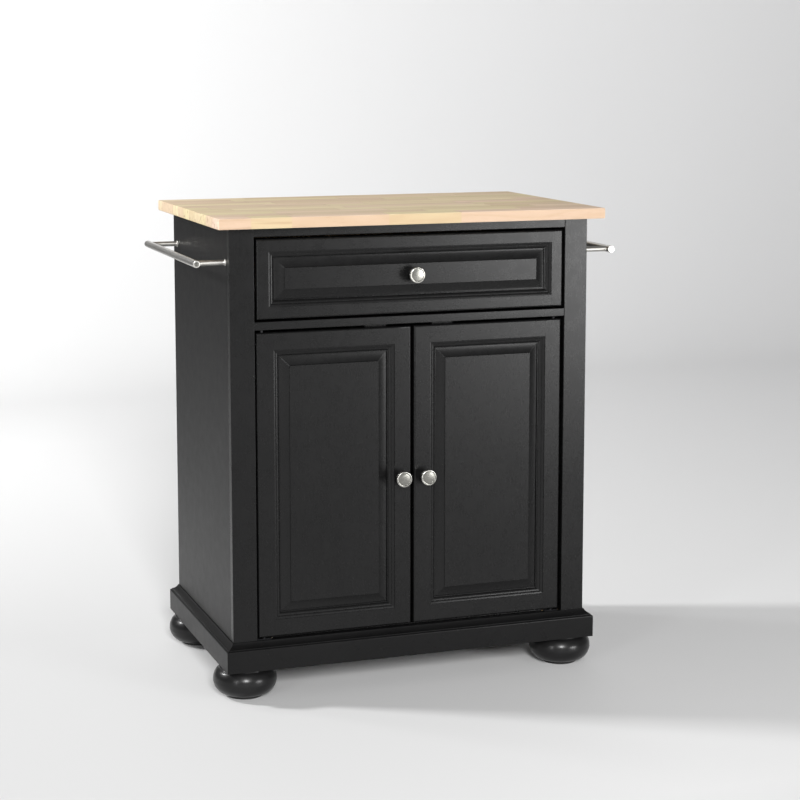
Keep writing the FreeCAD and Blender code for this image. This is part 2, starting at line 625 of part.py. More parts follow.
posts, screws = [], []
for hand, s in (("left", -1), ("right", 1)):
    x = (W + S.bar_out) * s
    bar = rod("towel_bar_" + hand, S.bar_radius, S.bar_end * 2, (x, -S.bar_end, S.bar_z), "+Y")
    keep(bar)
    for n, y in enumerate((-S.post_y, S.post_y)):
        way = "+X" if s > 0 else "-X"
        shaft = rod("post_shaft_%s_%d" % (hand, n), S.post_radius, S.bar_out, (W * s, y, S.bar_z), way)
        flange = rod("post_flange_%s_%d" % (hand, n), S.post_flange, S.post_flange_thick, (W * s, y, S.bar_z), way)
        post = fuse("post_%s_%d" % (hand, n), shaft, flange)
        tap = rod("post_tap_%s_%d" % (hand, n), S.bar_screw, S.side_thick + 22.0, (INNER * s, y, S.bar_z), way)
        posts.append(cut("towel_post_%s_%d" % (hand, n), post, bar, tap))
        shank = rod("bar_screw_%s_%d" % (hand, n), S.bar_screw, S.side_thick + 21.5, (INNER * s, y, S.bar_z), way)
        head = rod("bar_screw_head_%s_%d" % (hand, n), S.bar_screw * 2, dim(2.2), ((INNER - 2.2) * s, y, S.bar_z), way)
        screws.append(fuse("towel_screw_%s_%d" % (hand, n), shank, head))
keep(group("towel_bar_posts", *posts))
keep(group("towel_bar_screws", *screws))

# ---- top brackets ---------------------------------------------------------------------

brackets = []
L, K, Y = S.bracket_leg, S.bracket_thick, S.bracket_width / 2
for s in (-1, 1):
    for y in (-S.bracket_y, S.bracket_y):
        x = INNER * s
        path = [(x, UNDER), (x - L * s, UNDER), (x - L * s, UNDER - K), (x - K * s, UNDER - K), (x - K * s, UNDER - L), (x, UNDER - L)]
        brackets.append(prism("bracket_%d" % len(brackets), "XZ_Plane", path, Y * 2, (0, y + Y, 0)))
keep(group("top_brackets", *brackets))

# ---- checks and export --------------------------------------------------------------------

doc.recompute()
bad = [o.Name for o in doc.Objects if "Invalid" in o.State or "Error" in o.State]
if bad:
    raise SystemExit("failed objects: %s" % bad)
seen = set()
for obj in KEEP:
    shape = obj.Shape
    if shape.isNull() or not shape.isValid() or not shape.Solids:
        raise SystemExit("bad shape: %s" % obj.Label)
    if obj.Label in seen:
        raise SystemExit("label used twice: %s" % obj.Label)
    seen.add(obj.Label)
os.makedirs("parts", exist_ok=True)
for obj in KEEP:
    obj.Shape.exportStep("parts/%s.step" % obj.Label)
    box = obj.Shape.BoundBox
    print("%-26s solids %d volume %9.0f  x %.1f %.1f  y %.1f %.1f  z %.1f %.1f" % (
        obj.Label, len(obj.Shape.Solids), obj.Shape.Volume, box.XMin, box.XMax, box.YMin, box.YMax, box.ZMin, box.ZMax))
print(len(KEEP), "parts")
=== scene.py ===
import bpy
import bmesh
import json
import math
import random
from mathutils import Vector, Matrix


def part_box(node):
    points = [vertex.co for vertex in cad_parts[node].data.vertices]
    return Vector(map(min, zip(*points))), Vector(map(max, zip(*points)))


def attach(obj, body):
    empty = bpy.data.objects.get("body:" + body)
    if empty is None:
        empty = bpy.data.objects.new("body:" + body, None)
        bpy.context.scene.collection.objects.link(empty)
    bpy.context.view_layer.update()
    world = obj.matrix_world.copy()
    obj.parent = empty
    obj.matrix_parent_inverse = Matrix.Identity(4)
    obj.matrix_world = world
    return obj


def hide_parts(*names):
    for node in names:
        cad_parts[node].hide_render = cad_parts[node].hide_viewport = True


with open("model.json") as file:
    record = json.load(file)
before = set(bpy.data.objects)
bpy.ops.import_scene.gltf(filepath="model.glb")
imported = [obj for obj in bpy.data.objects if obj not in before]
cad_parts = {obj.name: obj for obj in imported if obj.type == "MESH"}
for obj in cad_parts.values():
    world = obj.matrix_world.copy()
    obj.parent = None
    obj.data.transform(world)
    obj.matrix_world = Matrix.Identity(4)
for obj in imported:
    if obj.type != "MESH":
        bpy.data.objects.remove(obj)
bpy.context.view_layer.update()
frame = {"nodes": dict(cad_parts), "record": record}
NODES = frame["nodes"]
SLOT = {s["node"]: s["material_slot"] for s in frame["record"]["subparts"]}
BODY = {n: b for b, ns in frame["record"]["behaviour"]["bodies"].items() for n in ns}

# ---------------------------------------------------------------- materials


class Mat:
    """A small builder for a procedural material around one Principled shader."""

    def __init__(self, name):
        self.mat = bpy.data.materials.new(name)
        self.mat.use_nodes = True
        self.tree = self.mat.node_tree
        self.tree.nodes.clear()
        self.out = self.tree.nodes.new("ShaderNodeOutputMaterial")
        self.bsdf = self.tree.nodes.new("ShaderNodeBsdfPrincipled")
        self.link(self.bsdf.outputs["BSDF"], self.out.inputs["Surface"])
        self.coord = self.tree.nodes.new("ShaderNodeTexCoord")
        self.here = self.coord.outputs["Object"]

    def link(self, a, b):
        self.tree.links.new(a, b)

    def node(self, kind, **inputs):
        n = self.tree.nodes.new(kind)
        for key, value in inputs.items():
            key = key.replace("_", " ")
            socket = n.inputs[key]
            if isinstance(value, bpy.types.NodeSocket):
                self.link(value, socket)
            else:
                socket.default_value = value
        return n

    def set(self, **values):
        for key, value in values.items():
            key = key.replace("_", " ")
            socket = self.bsdf.inputs[key]
            if isinstance(value, bpy.types.NodeSocket):
                self.link(value, socket)
            else:
                socket.default_value = value

    def math(self, op, a, b=0.0, clamp=False):
        n = self.tree.nodes.new("ShaderNodeMath")
        n.operation = op
        n.use_clamp = clamp
        for i, v in enumerate((a, b)):
            if isinstance(v, bpy.types.NodeSocket):
                self.link(v, n.inputs[i])
            else:
                n.inputs[i].default_value = v
        return n.outputs[0]

    def vec(self, op, a, b=(0, 0, 0)):
        n = self.tree.nodes.new("ShaderNodeVectorMath")
        n.operation = op
        for i, v in enumerate((a, b)):
            if isinstance(v, bpy.types.NodeSocket):
                self.link(v, n.inputs[i])
            else:
                n.inputs[i].default_value = v
        return n.outputs[0]

    def stretched(self, scale, at=None):
        return self.vec("MULTIPLY", at or self.here, scale)

    def noise(self, where, scale=1.0, detail=3.0, rough=0.5, distort=0.0):
        n = self.node("ShaderNodeTexNoise", Vector=where, Scale=scale, Detail=detail, Roughness=rough, Distortion=distort)
        return n.outputs["Fac"]

    def ramp(self, value, *stops):
        n = self.tree.nodes.new("ShaderNodeValToRGB")
        self.link(value, n.inputs[0])
        el = n.color_ramp.elements
        while len(el) < len(stops):
            el.new(0.5)
        for e, (pos, col) in zip(el, stops):
            e.position = pos
            e.color = col if len(col) == 4 else (*col, 1.0)
        return n.outputs["Color"]

    def range(self, value, a0, a1, b0, b1):
        n = self.tree.nodes.new("ShaderNodeMapRange")
        n.clamp = True
        self.link(value, n.inputs[0])
        for i, v in enumerate((a0, a1, b0, b1), 1):
            n.inputs[i].default_value = v
        return n.outputs[0]

    def mix(self, fac, a, b, how="MIX"):
        n = self.tree.nodes.new("ShaderNodeMix")
        n.data_type = "RGBA"
        n.blend_type = how
        for idx, v in ((0, fac), (6, a), (7, b)):
            if isinstance(v, bpy.types.NodeSocket):
                self.link(v, n.inputs[idx])
            else:
                n.inputs[idx].default_value = v if idx == 0 or len(v) == 4 else (*v, 1.0)
        return n.outputs[2]

    def bump(self, height, strength, distance, base=None):
        n = self.tree.nodes.new("ShaderNodeBump")
        n.inputs["Strength"].default_value = strength
        n.inputs["Distance"].default_value = distance
        self.link(height, n.inputs["Height"])
        if base is not None:
            self.link(base, n.inputs["Normal"])
        return n.outputs["Normal"]

    def attr(self, name, out="Fac"):
        n = self.tree.nodes.new("ShaderNodeAttribute")
        n.attribute_type = "GEOMETRY"
        n.attribute_name = name
        return n.outputs[out]


AXIS_SCALE = {"x": (0.06, 1.0, 1.0), "y": (1.0, 0.06, 1.0), "z": (1.0, 1.0, 0.06)}


def lacquer(name, grain, low=(0.0030, 0.0030, 0.0031), high=(0.0054, 0.0053, 0.0054), rough=(0.25, 0.29), ior=1.31):
    """Satin black lacquer: a soft sprayed skin over wood whose grain just shows through."""
    m = Mat(name)
    along = m.stretched(AXIS_SCALE[grain])
    fibre = m.noise(along, 420.0, 4.0, 0.62, 0.25)
    pores = m.noise(along, 1500.0, 2.0, 0.6)
    cloud = m.noise(m.here, 7.0, 3.0, 0.55)
    skin = m.noise(m.here, 620.0, 2.0, 0.45)
    spray = m.noise(m.here, 46.0, 4.0, 0.6)
    tone = m.math("ADD", m.math("MULTIPLY", cloud, 0.55), m.math("MULTIPLY", fibre, 0.45))
    m.set(Base_Color=m.ramp(tone, (0.30, low), (0.72, high)))
    r = m.math("ADD", m.range(spray, 0.3, 0.72, rough[0], rough[1]), m.range(pores, 0.35, 0.7, 0.0, 0.03))
    m.set(Roughness=r, IOR=ior)
    n1 = m.bump(fibre, 0.07, 0.00018)
    n2 = m.bump(skin, 0.04, 0.00020, n1)
    m.set(Normal=n2)
    return m.mat


def gloss(name):
    """Gloss black lacquer on the turned feet."""
    m = Mat(name)
    cloud = m.noise(m.here, 22.0, 3.0, 0.5)
    skin = m.noise(m.here, 240.0, 2.0, 0.4)
    rings = m.noise(m.stretched((0.2, 0.2, 1.0)), 900.0, 2.0, 0.5)
    m.set(Base_Color=m.ramp(cloud, (0.3, (0.0050, 0.0050, 0.0052)), (0.75, (0.0090, 0.0088, 0.0090))))
    m.set(Roughness=m.range(skin, 0.3, 0.7, 0.28, 0.35), IOR=1.30, Coat_Weight=0.12, Coat_Roughness=0.18)
    m.set(Normal=m.bump(skin, 0.04, 0.0004, m.bump(rings, 0.03, 0.0001)))
    return m.mat


def butcher(name):
    """Edge-glued hardwood staves: each stave has its own tone, tint and run of grain."""
    m = Mat(name)
    tone, tint, seed = m.attr("tone"), m.attr("tint"), m.attr("seed")
    shift = m.node("ShaderNodeCombineXYZ", X=m.math("MULTIPLY", seed, 5.3), Y=m.math("MULTIPLY", seed, 1.9),
                   Z=m.math("MULTIPLY", seed, 3.7)).outputs[0]
    p = m.vec("ADD", m.here, shift)
    # long figure, cathedral rings, fine fibre and short open pores, all along X
    figure = m.noise(m.stretched((1.1, 15.0, 15.0), p), 1.6, 4.0, 0.6, 0.6)
    warp = m.noise(m.stretched((2.0, 6.0, 6.0), p), 1.0, 2.0, 0.5)
    ring_at = m.vec("ADD", m.stretched((0.9, 22.0, 22.0), p), m.vec("MULTIPLY", m.node(
        "ShaderNodeCombineXYZ", X=0.0, Y=warp, Z=warp).outputs[0], (0.0, 5.0, 5.0)))
    wave = m.node("ShaderNodeTexWave", Vector=ring_at, Scale=0.85, Distortion=2.6, Detail=3.0, Detail_Scale=1.4,
                  Detail_Roughness=0.6)
    wave.bands_direction = "Y"
    rings = wave.outputs["Fac"]
    fibre = m.noise(m.stretched((9.0, 420.0, 420.0), p), 1.0, 4.0, 0.7)
    pores = m.noise(m.stretched((42.0, 1150.0, 1150.0), p), 1.0, 2.0, 0.6)
    pore = m.range(pores, 0.66, 0.74, 0.0, 1.0)
    streak = m.noise(m.stretched((2.6, 95.0, 95.0), p), 1.0, 3.0, 0.6, 0.4)
    pink, straw = (0.725, 0.555, 0.440), (0.715, 0.635, 0.385)
    base = m.mix(tint, pink, straw)
    base = m.mix(m.range(tone, 0.15, 1.0, 0.0, 0.62), base, (0.560, 0.420, 0.275))
    base = m.mix(m.range(figure, 0.40, 0.70, 0.0, 0.50), base, (0.530, 0.385, 0.240))
    base = m.mix(m.range(rings, 0.35, 1.0, 0.0, 0.26), base, (0.500, 0.360, 0.225))
    base = m.mix(m.range(fibre, 0.35, 0.75, 0.0, 0.24), base, (0.730, 0.630, 0.470))
    base = m.mix(m.range(streak, 0.57, 0.68, 0.0, 0.62), base, (0.370, 0.240, 0.145))
    base = m.mix(m.math("MULTIPLY", pore, 0.34), base, (0.300, 0.185, 0.100))
    # glue lines between staves
    uv = m.node("ShaderNodeSeparateXYZ", Vector=m.attr("stave_uv", "Vector"))
    du = m.math("SUBTRACT", 0.5, m.math("ABSOLUTE", m.math("SUBTRACT", uv.outputs[0], 0.5)))
    dv = m.math("SUBTRACT", 0.5, m.math("ABSOLUTE", m.math("SUBTRACT", uv.outputs[1], 0.5)))
    edge = m.math("MINIMUM", m.math("MULTIPLY", du, 6.0), dv)
    glue = m.range(edge, 0.006, 0.018, 1.0, 0.0)
    base = m.mix(m.math("MULTIPLY", glue, 0.55), base, (0.330, 0.215, 0.130))
    m.set(Base_Color=base)
    rough = m.math("ADD", m.range(fibre, 0.3, 0.7, 0.60, 0.72), m.math("MULTIPLY", pore, 0.10))
    m.set(Roughness=rough, IOR=1.2)
    height = m.math("SUBTRACT", m.math("MULTIPLY", fibre, 0.30), m.math("ADD", m.math("MULTIPLY", pore, 0.5),
                                                                       m.math("MULTIPLY", glue, 0.8)))
    m.set(Normal=m.bump(height, 0.35, 0.00030))
    return m.mat


def plain_wood(name, grain, light=(0.560, 0.400, 0.245), dark=(0.420, 0.275, 0.150)):
    """Clear-sealed rubberwood for the drawer box and the inner battens."""
    m = Mat(name)
    s = {"x": (1.4, 26.0, 26.0), "y": (26.0, 1.4, 26.0), "z": (26.0, 26.0, 1.4)}[grain]
    f = {"x": (12.0, 520.0, 520.0), "y": (520.0, 12.0, 520.0), "z": (520.0, 520.0, 12.0)}[grain]
    figure = m.noise(m.stretched(s), 1.0, 5.0, 0.62, 1.2)
    fibre = m.noise(m.stretched(f), 1.0, 3.0, 0.65)
    pores = m.noise(m.stretched(tuple(v * 2.2 for v in f)), 1.0, 2.0, 0.6)
    pore = m.range(pores, 0.66, 0.74, 0.0, 1.0)
    base = m.mix(m.range(figure, 0.34, 0.70, 0.0, 1.0), light, dark)
    base = m.mix(m.range(fibre, 0.3, 0.75, 0.0, 0.35), base, (0.66, 0.50, 0.33))
    base = m.mix(m.math("MULTIPLY", pore, 0.4), base, (0.25, 0.15, 0.08))
    m.set(Base_Color=base, Roughness=m.range(fibre, 0.3, 0.7, 0.42, 0.56), IOR=1.46)
    m.set(Normal=m.bump(m.math("SUBTRACT", fibre, pore), 0.22, 0.00025))
    return m.mat


def board(name):
    """Thin board with a dark printed paper face."""
    m = Mat(name)
    speck = m.noise(m.here, 900.0, 3.0, 0.6)
    weave = m.noise(m.stretched((1.0, 1.0, 0.05)), 300.0, 3.0, 0.6)
    cloud = m.noise(m.here, 9.0, 3.0, 0.5)
    base = m.mix(m.range(cloud, 0.3, 0.7, 0.0, 1.0), (0.020, 0.0195, 0.019), (0.031, 0.030, 0.029))
    base = m.mix(m.range(speck, 0.55, 0.75, 0.0, 0.5), base, (0.052, 0.050, 0.047))
    m.set(Base_Color=base, Roughness=m.range(weave, 0.3, 0.7, 0.52, 0.66), IOR=1.45)
    m.set(Normal=m.bump(weave, 0.15, 0.0002, m.bump(speck, 0.12, 0.00015)))
    return m.mat


def nickel(name, brush, rough=(0.24, 0.36), low=(0.44, 0.43, 0.405), high=(0.64, 0.63, 0.60), relief=0.22):
    """Brushed nickel; brush is the stretch of the fine scratches in X, Y, Z."""
    m = Mat(name)
    scratch = m.noise(m.stretched(brush), 1.0, 4.0, 0.72)
    fine = m.noise(m.stretched(tuple(v * 2.6 for v in brush)), 1.0, 2.0, 0.6)
    cloud = m.noise(m.here, 60.0, 2.0, 0.5)
    both = m.math("ADD", m.math("MULTIPLY", scratch, 0.65), m.math("MULTIPLY", fine, 0.35))
    m.set(Base_Color=m.ramp(both, (0.32, low), (0.70, high)), Metallic=1.0)
    m.set(Roughness=m.math("ADD", m.range(both, 0.3, 0.7, rough[0], rough[1]), m.range(cloud, 0.3, 0.7, 0.0, 0.03)))
    m.set(Normal=m.bump(both, relief, 0.00006))
    return m.mat


def zinc(name):
    """Bright zinc-plated steel with its mottled spangle."""
    m = Mat(name)
    v = m.node("ShaderNodeTexVoronoi", Vector=m.here, Scale=260.0)
    spangle = v.outputs["Color"]
    tone = m.node("ShaderNodeSeparateColor", Color=spangle).outputs[0]
    scratch = m.noise(m.stretched((1.0, 0.05, 1.0)), 1400.0, 3.0, 0.6)
    m.set(Base_Color=m.ramp(tone, (0.0, (0.50, 0.51, 0.53)), (1.0, (0.64, 0.65, 0.67))), Metallic=1.0)
    m.set(Roughness=m.math("ADD", m.range(tone, 0.0, 1.0, 0.26, 0.36), m.range(scratch, 0.35, 0.7, 0.0, 0.08)))
    m.set(Normal=m.bump(scratch, 0.12, 0.00005))
    return m.mat


def plastic(name, low, high, rough=(0.42, 0.55)):
    """Moulded plastic with a fine spark-eroded texture."""
    m = Mat(name)
    grit = m.noise(m.here, 1900.0, 2.0, 0.5)
    cloud = m.noise(m.here, 90.0, 2.0, 0.5)
    m.set(Base_Color=m.ramp(cloud, (0.3, low), (0.7, high)), Roughness=m.range(grit, 0.3, 0.7, *rough), IOR=1.49)
    m.set(Normal=m.bump(grit, 0.25, 0.00012))
    return m.mat


def black_steel(name):
    """Steel with a blued black oxide skin, faintly mottled and scratched."""
    m = Mat(name)
    mottle = m.noise(m.here, 480.0, 4.0, 0.65)
    scratch = m.noise(m.stretched((0.06, 1.0, 1.0)), 1900.0, 3.0, 0.6)
    m.set(Base_Color=m.ramp(mottle, (0.32, (0.010, 0.010, 0.011)), (0.70, (0.020, 0.020, 0.022))), Metallic=0.6)
    m.set(Roughness=m.math("ADD", m.range(mottle, 0.3, 0.7, 0.40, 0.52), m.range(scratch, 0.4, 0.7, 0.0, 0.06)))
    m.set(Normal=m.bump(scratch, 0.15, 0.00005))
    return m.mat


LACQUER = {g: lacquer("lacquer_" + g, g) for g in "xyz"}
SIDE_LACQUER = {g: lacquer("lacquer_side_" + g, g, rough=(0.36, 0.40), ior=1.28) for g in "yz"}
BASE_LACQUER = lacquer("lacquer_base_x", "x", rough=(0.26, 0.30), ior=1.27)
GLOSS = gloss("gloss_lacquer")
BUTCHER = butcher("butcher_block")
WOOD = {g: plain_wood("raw_wood_" + g, g) for g in "xyz"}
BOARD = board("panel_board")
ZINC = zinc("zinc_steel")
NYLON = plastic("glide_nylon", (0.018, 0.018, 0.018), (0.030, 0.030, 0.030))
CATCH = plastic("catch_plastic", (0.010, 0.010, 0.010), (0.018, 0.018, 0.018))
BLACK_STEEL = black_steel("black_steel")
BAR_METAL = nickel("nickel_bar", (2600.0, 60.0, 2600.0))
POST_METAL = nickel("nickel_post", (60.0, 2600.0, 2600.0), (0.32, 0.44), (0.36, 0.35, 0.33), (0.54, 0.53, 0.50))
# darker copy of the knob nickel: painted shade on the knob faces and on the towel bar end caps
KNOB_FACE_PAINTED_SHADE = nickel("nickel_knob_face_painted_shade", (45.0, 1800.0, 1800.0), (0.20, 0.27), (0.18, 0.177, 0.163), (0.29, 0.286, 0.263), relief=0.5)
KNOB_BODY = nickel("nickel_knob_body", (900.0, 900.0, 900.0), (0.20, 0.30), (0.40, 0.39, 0.365), (0.58, 0.57, 0.54))

# ---------------------------------------------------------------- mesh helpers


def new_object(name, bm, mats, body, slot, *nodes, smooth=30.0):
    me = bpy.data.meshes.new(name)
    bmesh.ops.recalc_face_normals(bm, faces=bm.faces)
    bm.to_mesh(me)
    bm.free()
    for mat in mats if isinstance(mats, (list, tuple)) else [mats]:
        me.materials.append(mat)
    me.shade_smooth()
    me.set_sharp_from_angle(angle=math.radians(smooth))
    o = bpy.data.objects.new(name, me)
    bpy.context.scene.collection.objects.link(o)
    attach(o, body)
    if nodes:
        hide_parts(*nodes)
    return o


def grain_of(node):
    """The longest side of a board, which is the way its grain runs."""
    lo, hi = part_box(node)
    d = hi - lo
    return "xyz"[max(range(3), key=lambda i: d[i])]


def refined(node, mat, bevel=0.0008, segments=2, angle=28.0, name=None):
    """The CAD piece as a clean mesh: flat faces joined up and every hard edge eased."""
    src = NODES[node]
    bm = bmesh.new()
    bm.from_mesh(src.data)
    bmesh.ops.remove_doubles(bm, verts=bm.verts, dist=2e-6)
    bmesh.ops.dissolve_limit(bm, angle_limit=math.radians(0.35), verts=bm.verts, edges=bm.edges)
    hard = [e for e in bm.edges if len(e.link_faces) == 2 and e.calc_face_angle(0.0) > math.radians(angle)]
    if bevel and hard:
        bmesh.ops.bevel(bm, geom=hard, offset=bevel, offset_type="OFFSET", segments=segments, profile=0.5,
                        affect="EDGES", clamp_overlap=True)
    o = new_object((name or node) + "_skin", bm, mat, BODY[node], SLOT[node], node, smooth=40.0)
    w = o.modifiers.new("weighted", "WEIGHTED_NORMAL")
    w.keep_sharp = True
    w.weight = 80
    return o


def arc(cx, cy, r, a0, a1, n):
    """Points on an arc, degrees."""
    return [(cx + r * math.cos(math.radians(a0 + (a1 - a0) * i / n)),
             cy + r * math.sin(math.radians(a0 + (a1 - a0) * i / n))) for i in range(n + 1)]


def lathe_into(bm, profile, origin, axis, seg=96, mat=0, face_mat=None):
    """Turns (radius, distance along axis) round the axis at origin. Ends on the axis are closed by one pole."""
    axis = Vector(axis).normalized()
    side = axis.orthogonal().normalized()
    up = axis.cross(side)
    origin = Vector(origin)
    rows = []
    for r, t in profile:
        if r < 1e-7:
            rows.append([bm.verts.new(origin + axis * t)])
        else:
            rows.append([bm.verts.new(origin + axis * t + (side * math.cos(2 * math.pi * i / seg)
                                                         + up * math.sin(2 * math.pi * i / seg)) * r) for i in range(seg)])
    faces = []
    for k in range(len(rows) - 1):
        a, b = rows[k], rows[k + 1]
        for i in range(seg):
            j = (i + 1) % seg
            if len(a) == 1 and len(b) == 1:
                continue
            if len(a) == 1:
                f = bm.faces.new((a[0], b[j], b[i]))
            elif len(b) == 1:
                f = bm.faces.new((a[i], a[j], b[0]))
            else:
                f = bm.faces.new((a[i], a[j], b[j], b[i]))
            f.material_index = mat if face_mat is None else face_mat(k)
            faces.append(f)
    return faces


def smooth_curve(points, n=8):
    """Catmull-Rom through (a, b) points."""
    out = []
    p = [points[0]] + list(points) + [points[-1]]
    for k in range(1, len(p) - 2):
        for i in range(n):
            t = i / n
            out.append(tuple(0.5 * (2 * p[k][c] + (p[k + 1][c] - p[k - 1][c]) * t
                                    + (2 * p[k - 1][c] - 5 * p[k][c] + 4 * p[k + 1][c] - p[k + 2][c]) * t * t
                                    + (3 * p[k][c] - p[k - 1][c] - 3 * p[k + 1][c] + p[k + 2][c]) * t ** 3) for c in (0, 1)))
    out.append(points[-1])
    return out


# ---------------------------------------------------------------- work top


def build_top():
    """One skin of the slab, divided along its staves, each with its own tone, tint and grain."""
    lo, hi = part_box("butcher_block_top")
    size, mid = hi - lo, (lo + hi) / 2
    bm = bmesh.new()
    bmesh.ops.create_cube(bm, size=1.0, matrix=Matrix.Translation(mid) @ Matrix.Diagonal((*size, 1.0)))
    upright = [e for e in bm.edges if abs(e.verts[0].co.z - e.verts[1].co.z) > size.z * 0.5]
    bmesh.ops.bevel(bm, geom=upright, offset=0.004, segments=6, profile=0.5, affect="EDGES")
    rim = [e for e in bm.edges if abs(e.verts[0].co.z - e.verts[1].co.z) < 1e-6
           and any(abs(f.normal.z) > 0.9 for f in e.link_faces) and any(abs(f.normal.z) < 0.1 for f in e.link_faces)]
    bmesh.ops.bevel(bm, geom=rim, offset=0.0022, segments=5, profile=0.5, affect="EDGES")
    rnd = random.Random(28)
    rows = 11
    step = size.y / rows
    cuts = [lo.y + step * i for i in range(1, rows)]
    for y in cuts:
        bmesh.ops.bisect_plane(bm, geom=bm.verts[:] + bm.edges[:] + bm.faces[:], plane_co=(0, y, 0), plane_no=(0, 1, 0))
    staves = []
    for i in range(rows):
        y0, y1 = lo.y + step * i, lo.y + step * (i + 1)
        x = lo.x - rnd.uniform(0.02, 0.20)
        joints = [x]
        while x < hi.x:
            x += rnd.uniform(0.13, 0.31)
            joints.append(x)
        if hi.x - joints[-2] < 0.045:
            joints.pop(-2)
        if i == 0:
            joints = [lo.x - 0.06, -0.301, -0.229, -0.054, 0.080, hi.x + 0.05]
        for x in joints:
            if lo.x + 0.001 < x < hi.x - 0.001:
                faces = [f for f in bm.faces if y0 - 1e-6 < f.calc_center_median().y < y1 + 1e-6]
                geom = set(faces)
                for f in faces:
                    geom.update(f.edges)
                    geom.update(f.verts)
                bmesh.ops.bisect_plane(bm, geom=list(geom), plane_co=(x, 0, 0), plane_no=(1, 0, 0))
        for k, (a, b) in enumerate(zip(joints, joints[1:])):
            t, q, s = rnd.random(), rnd.choice((0.0, 0.2, 0.45, 0.7, 1.0)), rnd.random()
            if i == 0:
                t, q = (0.15, 0.30, 0.20, 0.25, 0.20)[k], (0.0, 0.9, 0.1, 1.0, 0.0)[k]
            staves.append((a, b, y0, y1, t, q, s))
    tone = bm.faces.layers.float.new("tone")
    tint = bm.faces.layers.float.new("tint")
    seed = bm.faces.layers.float.new("seed")
    uv = bm.loops.layers.float_vector.new("stave_uv")
    for f in bm.faces:
        c = f.calc_center_median()
        best = min(staves, key=lambda s: max(s[0] - c.x, c.x - s[1], 0) + max(s[2] - c.y, c.y - s[3], 0))
        a, b, y0, y1, t, q, s = best
        f[tone], f[tint], f[seed] = t, q, s
        for loop in f.loops:
            loop[uv] = ((loop.vert.co.x - a) / (b - a), (loop.vert.co.y - y0) / (y1 - y0), 0.0)
    return new_object("butcher_block_staves", bm, BUTCHER, "root", "butcher_block", "butcher_block_top", smooth=35.0)


build_top()

# ---------------------------------------------------------------- cabinet boards

BOARDS = ["side_panel_left", "side_panel_right", "face_stile_left", "face_stile_right", "face_rail_top",
          "face_rail_middle", "face_rail_bottom", "bottom_panel", "adjustable_shelf"]
GRAIN = {"side_panel_left": "z", "side_panel_right": "z", "bottom_panel": "x", "adjustable_shelf": "x"}
for n in BOARDS:
    refined(n, SIDE_LACQUER["z"] if n.startswith("side_panel") else LACQUER[GRAIN.get(n) or grain_of(n)], 0.0010 if n.startswith("face") else 0.0011, 3)
for n in ("base_moulding_front", "base_moulding_back", "base_moulding_left", "base_moulding_right"):
    refined(n, SIDE_LACQUER["y"] if grain_of(n) == "y" else BASE_LACQUER, 0.0009, 3, angle=20.0)
refined("back_panel", BOARD, 0.0004, 2)
for n in ("rear_rail_top", "slide_battens", "corner_blocks"):
    refined(n, WOOD["y" if n == "slide_battens" else "x" if n == "rear_rail_top" else "z"], 0.0012, 3)

for n in sorted(NODES):
    if n.startswith(("door_left_", "door_right_", "drawer_")) and ("stile" in n or "rail" in n or n.endswith("panel")):
        refined(n, LACQUER["x" if n == "drawer_panel" else "z" if n.endswith("panel") else grain_of(n)],
                0.0007 if "stile" in n or "rail" in n else 0.0006, 2)
for n, g in (("drawer_side_left", "y"), ("drawer_side_right", "y"), ("drawer_box_front", "x"), ("drawer_box_back", "x")):
    refined(n, WOOD[g], 0.0012, 3)
refined("drawer_bottom", BOARD, 0.0004, 2)

# ---------------------------------------------------------------- metalwork

for n in ("slide_rail_left", "slide_rail_right", "drawer_runners", "top_brackets"):
    refined(n, ZINC, 0.00035, 2)
for n in ("shelf_pins", "foot_bolts", "towel_bar_screws"):
    refined(n, ZINC, 0.0003, 2, angle=40.0)
for n in ("door_pivots", "door_left_strike", "door_right_strike"):
    refined(n, BLACK_STEEL, 0.0003, 2, angle=40.0)
refined("foot_glides", NYLON, 0.0006, 3, angle=40.0)
refined("door_catches", CATCH, 0.0009, 3)

def build_foot(node):
    """Bun foot: a lip over the glide, the round belly and a short neck under the base."""
    lo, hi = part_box(node)
    cx, cy = (lo.x + hi.x) / 2, (lo.y + hi.y) / 2
    top = hi.z
    lip = [(0.0335, 0.0025), (0.0337, 0.0038), (0.0336, 0.0047)]
    bulge = smooth_curve([(0.0349, 0.0052), (0.0452, 0.0094), (0.0527, 0.0176), (0.0561, 0.0266), (0.0564, 0.0330),
                          (0.0550, 0.0405), (0.0511, top - 0.0075), (0.0468, top - 0.0032), (0.0462, top - 0.0013)], 9)
    profile = [(0.0, 0.0025)] + lip + bulge + [(0.0456, top), (0.0, top)]
    bm = bmesh.new()
    lathe_into(bm, profile, (cx, cy, 0.0), (0, 0, 1), 128)
    new_object(node + "_turned", bm, GLOSS, "root", SLOT[node], node, smooth=50.0)


for n in ("foot_front_left", "foot_front_right", "foot_rear_left", "foot_rear_right"):
    build_foot(n)


